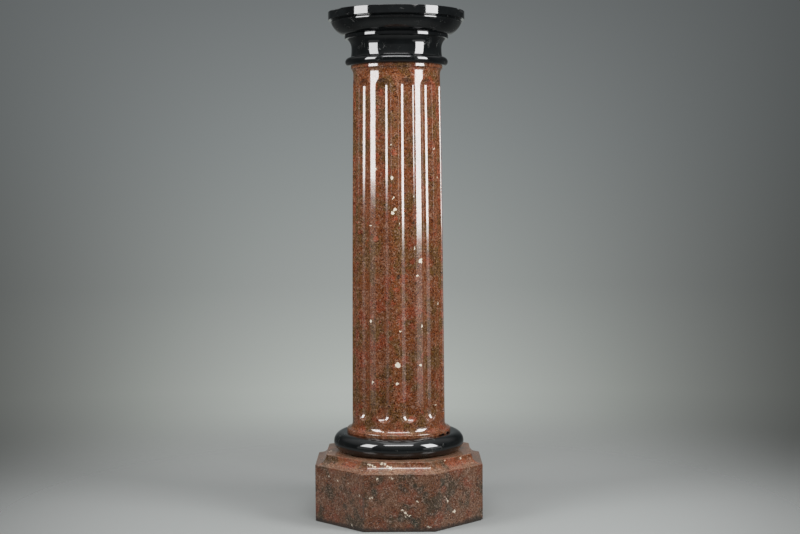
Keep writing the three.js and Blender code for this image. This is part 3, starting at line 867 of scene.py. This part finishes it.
def waisted_neck(steps):
    """The neck's outline: it widens from its waist with a power of the distance, up to the ring and
    down to the astragal."""
    rise = np.linspace(0, NECK_HEIGHT, steps, endpoint=False)
    above = np.clip((rise - NECK_WAIST_HEIGHT) / (NECK_HEIGHT - NECK_WAIST_HEIGHT), 0, 1)
    below = np.clip((NECK_WAIST_HEIGHT - rise) / NECK_WAIST_HEIGHT, 0, 1)
    flare = (NECK_HEAD_RADIUS - NECK_WAIST_RADIUS) * above**NECK_FLARE_POWER
    flare += (NECK_FOOT_RADIUS - NECK_WAIST_RADIUS) * below**NECK_FLARE_POWER
    return np.stack([NECK_WAIST_RADIUS + flare, neck_foot + rise], axis=-1)


def square_band(inner, radius, foot, head, easing, steps):
    """A square-edged band: out along its underside, round the rubbed lower arris, up, and round the
    upper one."""
    return np.vstack([
        straight((inner, foot), (radius - easing, foot), 3),
        eased((radius - easing, foot), (radius, foot), (radius, foot + easing), 5),
        straight((radius, foot + easing), (radius, head - easing), steps),
        eased((radius, head - easing), (radius, head), (radius - easing, head), 5),
    ])


capital_outline = np.vstack([
    straight((INNER_SHARE * astragal_seat, capital_low.z), (astragal_seat, capital_low.z), 6),
    swelling((astragal_seat, capital_low.z), (astragal_seat, neck_foot), ASTRAGAL_ROUND, 36),
    straight((astragal_seat, neck_foot), (NECK_FOOT_RADIUS, neck_foot), 2),
    waisted_neck(30),
    square_band(NECK_HEAD_RADIUS, RING_RADIUS, ring_foot, ovolo_foot, RING_EASING, 6),
    straight((RING_RADIUS - RING_EASING, ovolo_foot), ovolo_start, 2),
    swelling(ovolo_start, (OVOLO_HEAD_RADIUS, fillet_foot), OVOLO_ROUND, 30),
    square_band(OVOLO_HEAD_RADIUS, FILLET_RADIUS, fillet_foot, cove_foot, FILLET_EASING, 5),
    hollowed((FILLET_RADIUS - FILLET_EASING, cove_foot), (cove_reach, abacus_foot), 8),
    square_band(cove_reach, ABACUS_RADIUS, abacus_foot, capital_top, CAPITAL_EASING, 14),
    straight((ABACUS_RADIUS - CAPITAL_EASING, capital_top), (rim_reach, capital_top), 10),
    straight((rim_reach, capital_top), (INNER_SHARE * ABACUS_RADIUS, capital_top), 6),
    [(INNER_SHARE * ABACUS_RADIUS, capital_top)],
])
capital_rings = turned(capital_outline, CAPITAL_COLUMNS, CAPITAL_WAVE, seed=41)
capital_broken = np.zeros(capital_rings.shape[:2])
for number, knock in enumerate(RIM_KNOCKS):
    arris = (ABACUS_RADIUS, capital_top)
    capital_rings, bitten = knock_out(capital_rings, arris, knock, upwards=1, seed=51 + number)
    capital_broken = np.maximum(capital_broken, bitten)
capital = closed_surface("capital_visual", capital_rings, {"broken": capital_broken})
capital.data.materials.append(black_material)
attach(capital, "root")
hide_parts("capital")


# Studio
# A plain pale floor that fades into a plain grey surround, and two tall softboxes at the front left and
# right, whose reflections run down the polished shaft and dim at the boxes' lower hems. A broad softbox
# and a dim ceiling hang above.

FLOOR_REACH = 4.0
FLOOR_FADE_START = 0.3
FLOOR_FADE_END = 1.6
STRIP_DISTANCE = 1.7


def floor_disc(reach, rings, columns):
    """A level disc: rings of points whose radius grows evenly, joined up round the middle."""
    radius = np.linspace(reach / rings, reach, rings)[:, None]
    angle = np.linspace(0, 2 * np.pi, columns, endpoint=False)[None, :]
    points = np.vstack([around(radius, angle, 0.0).reshape(-1, 3), [[0, 0, 0]]])
    row, column = np.meshgrid(np.arange(rings - 1), np.arange(columns), indexing="ij")
    here = row * columns + column
    beside = row * columns + (column + 1) % columns
    quads = np.stack([here, here + columns, beside + columns, beside], axis=-1).reshape(-1, 4)
    first = np.arange(columns)
    fan = np.stack([np.full(columns, rings * columns), first, (first + 1) % columns], axis=-1)
    mesh = bpy.data.meshes.new("floor")
    mesh.from_pydata(points.tolist(), [], quads.tolist() + fan.tolist())
    floor = bpy.data.objects.new("floor", mesh)
    bpy.context.scene.collection.objects.link(floor)
    return floor


floor = floor_disc(FLOOR_REACH, 8, 64)
floor_material, tree, place, shader = new_material("floor_pale")
camera_ray = add_node(tree, "ShaderNodeLightPath").outputs["Is Camera Ray"]
floor_colour = laid_over(tree, camera_ray, (0.10, 0.104, 0.102, 1), (0.20, 0.208, 0.205, 1))
tree.links.new(floor_colour, shader.inputs["Base Color"])
shader.inputs["Roughness"].default_value = 0.8
from_middle = add_node(tree, "ShaderNodeVectorMath", {0: place}, operation="LENGTH").outputs["Value"]
fade = graded(tree, from_middle, FLOOR_FADE_START, FLOOR_FADE_END, 1.0, 0.0, "SMOOTHSTEP")
tree.links.new(fade, shader.inputs["Alpha"])
floor.data.materials.append(floor_material)

# The camera sees one plain grade of grey, which falls off to both sides. Reflections and the fill light
# see that grey only behind the column, and otherwise a dark room with a dim ceiling and a faint glow
# from the front
world = bpy.data.worlds.new("grey surround")
bpy.context.scene.world = world
world.use_nodes = True
tree = world.node_tree
tree.nodes.clear()
direction = add_node(tree, "ShaderNodeTexCoord").outputs["Generated"]
sideways, depthways, upwards = add_node(tree, "ShaderNodeSeparateXYZ", {0: direction}).outputs
climb = graded(tree, upwards, -0.24, 0.14)
ramp = add_node(tree, "ShaderNodeValToRGB", {0: climb})
ramp.color_ramp.elements[0].color = (0.42, 0.44, 0.43, 1)
ramp.color_ramp.elements[1].color = (0.155, 0.168, 0.171, 1)
for position, grey in (
    (0.26, (0.46, 0.485, 0.46, 1)),
    (0.45, (0.33, 0.35, 0.34, 1)),
    (0.71, (0.245, 0.265, 0.265, 1)),
):
    ramp.color_ramp.elements.new(position).color = grey
# At a sideways share x the grey is multiplied by exp(-(24 - 18 climb) x^2 - 0.6 x), and by no less than
# a fifth
steepness = reckon(tree, "MULTIPLY_ADD", climb, 18.0, -24.0)
aside = reckon(tree, "MULTIPLY", reckon(tree, "MULTIPLY", sideways, sideways), steepness)
falloff = reckon(tree, "EXPONENT", reckon(tree, "MULTIPLY_ADD", sideways, -0.6, aside))
falloff = reckon(tree, "MAXIMUM", falloff, 0.2)
seen = laid_over(tree, 1.0, ramp.outputs["Color"], falloff, "MULTIPLY")
ceiling = graded(tree, upwards, 0.30, 0.95, 0.06, 0.60)
in_front = graded(tree, depthways, -0.5, -0.9, 0.0, 0.09)
above_eye = graded(tree, upwards, 0.0, 0.07)
room = reckon(tree, "MULTIPLY_ADD", in_front, above_eye, ceiling)
behind = graded(tree, depthways, 0.5, 0.8)
room = laid_over(tree, behind, room, seen)
camera_ray = add_node(tree, "ShaderNodeLightPath").outputs["Is Camera Ray"]
sky = laid_over(tree, camera_ray, room, seen)
surround = add_node(tree, "ShaderNodeBackground", {"Color": sky, "Strength": 1.0})
add_node(tree, "ShaderNodeOutputWorld", {"Surface": surround.outputs[0]})


def softbox(name, place, aim, width, height, radiance):
    """A flat rectangular light that faces a point. Its power is its brightness times pi times its
    area."""
    light = bpy.data.lights.new(name, "AREA")
    light.shape = "RECTANGLE"
    light.size, light.size_y = width, height
    light.energy = radiance * math.pi * width * height
    lamp = bpy.data.objects.new(name, light)
    place, aim = np.array(place), np.array(aim)
    back = (place - aim) / np.linalg.norm(place - aim)
    side = np.cross((0, 0, 1), back) if abs(back[2]) < 0.9 else np.array((1.0, 0, 0))
    side /= np.linalg.norm(side)
    upright = np.cross(back, side)
    turned_place = np.eye(4)
    turned_place[:3] = np.stack([side, upright, back, place], axis=-1)
    lamp.matrix_world = Matrix(turned_place.tolist())
    lamp.visible_camera = False
    bpy.context.scene.collection.objects.link(lamp)


for name, azimuth, width, foot, head, radiance in (
    ("softbox_left", -59, 24, 0.78, 2.05, 15.0),
    ("softbox_left_hem", -59, 24, 0.735, 0.78, 7.0),
    ("softbox_left_edge", -59, 24, 0.69, 0.735, 2.5),
    ("softbox_right", 59.5, 23, 0.62, 2.05, 18.0),
    ("softbox_right_hem", 59.5, 23, 0.575, 0.62, 8.0),
    ("softbox_right_edge", 59.5, 23, 0.53, 0.575, 3.0),
    ("reflector_left", -60, 30, 0.02, 0.69, 0.4),
    ("reflector_right", 60, 36, 0.02, 0.53, 0.9),
):
    turn = math.radians(azimuth)
    middle = (foot + head) / 2
    stand = (STRIP_DISTANCE * math.sin(turn), -STRIP_DISTANCE * math.cos(turn), middle)
    breadth = 2 * STRIP_DISTANCE * math.tan(math.radians(width / 2))
    softbox(name, stand, (0, 0, middle), breadth, head - foot, radiance)
softbox("softbox_overhead", (0, -1.45, 2.45), (0, -0.16, 0.15), 2.0, 0.62, 11.0)
softbox("ceiling_glow", (0, -0.5, 2.55), (0, -0.5, 0.15), 1.5, 1.1, 1.6)
softbox("ceiling_dim", (0, 0.75, 2.55), (0, 0.75, 0.15), 1.5, 1.4, 1.0)


# Camera
# It stands in front at about chest height and looks slightly down, as the photograph does.

CAMERA_DISTANCE = 3.1225
CAMERA_HEIGHT = 0.7214
CAMERA_ASIDE = 6 * MM
CAMERA_DIP = 3.224
CAMERA_ROLL = 0.35
SENSOR_WIDTH = 36
IMAGE_WIDTH = 800
FOCAL_PIXELS = 1423

camera_data = bpy.data.cameras.new("camera")
camera_data.sensor_width = SENSOR_WIDTH
camera_data.lens = FOCAL_PIXELS * SENSOR_WIDTH / IMAGE_WIDTH
camera = bpy.data.objects.new("camera", camera_data)
camera.location = (CAMERA_ASIDE, -CAMERA_DISTANCE, CAMERA_HEIGHT)
camera.rotation_euler = (math.radians(90 - CAMERA_DIP), math.radians(CAMERA_ROLL), 0)
bpy.context.scene.collection.objects.link(camera)
bpy.context.scene.camera = camera

# Bright reflections roll off softly: past a knee k, a level x is shown as k + s (1 - exp(-(x - k) / s))
VIEW_KNEE = 0.3
VIEW_SHOULDER = 0.6
VIEW_BRIGHTEST = 4.0

view = bpy.context.scene.view_settings
view.view_transform = "Standard"
view.use_curve_mapping = True
view.curve_mapping.clip_max_x = VIEW_BRIGHTEST
curve = view.curve_mapping.curves[3]
levels = np.append([0.5 * VIEW_KNEE], np.linspace(VIEW_KNEE, VIEW_BRIGHTEST, 24))
past_knee = np.maximum(levels - VIEW_KNEE, 0)
shown = np.minimum(levels, VIEW_KNEE) + VIEW_SHOULDER * (1 - np.exp(-past_knee / VIEW_SHOULDER))
curve.points[1].location = (levels[-1], shown[-1])
for level, result in zip(levels[:-1], shown[:-1]):
    curve.points.new(level, result)
for point in curve.points:
    point.handle_type = "VECTOR"
view.curve_mapping.update()
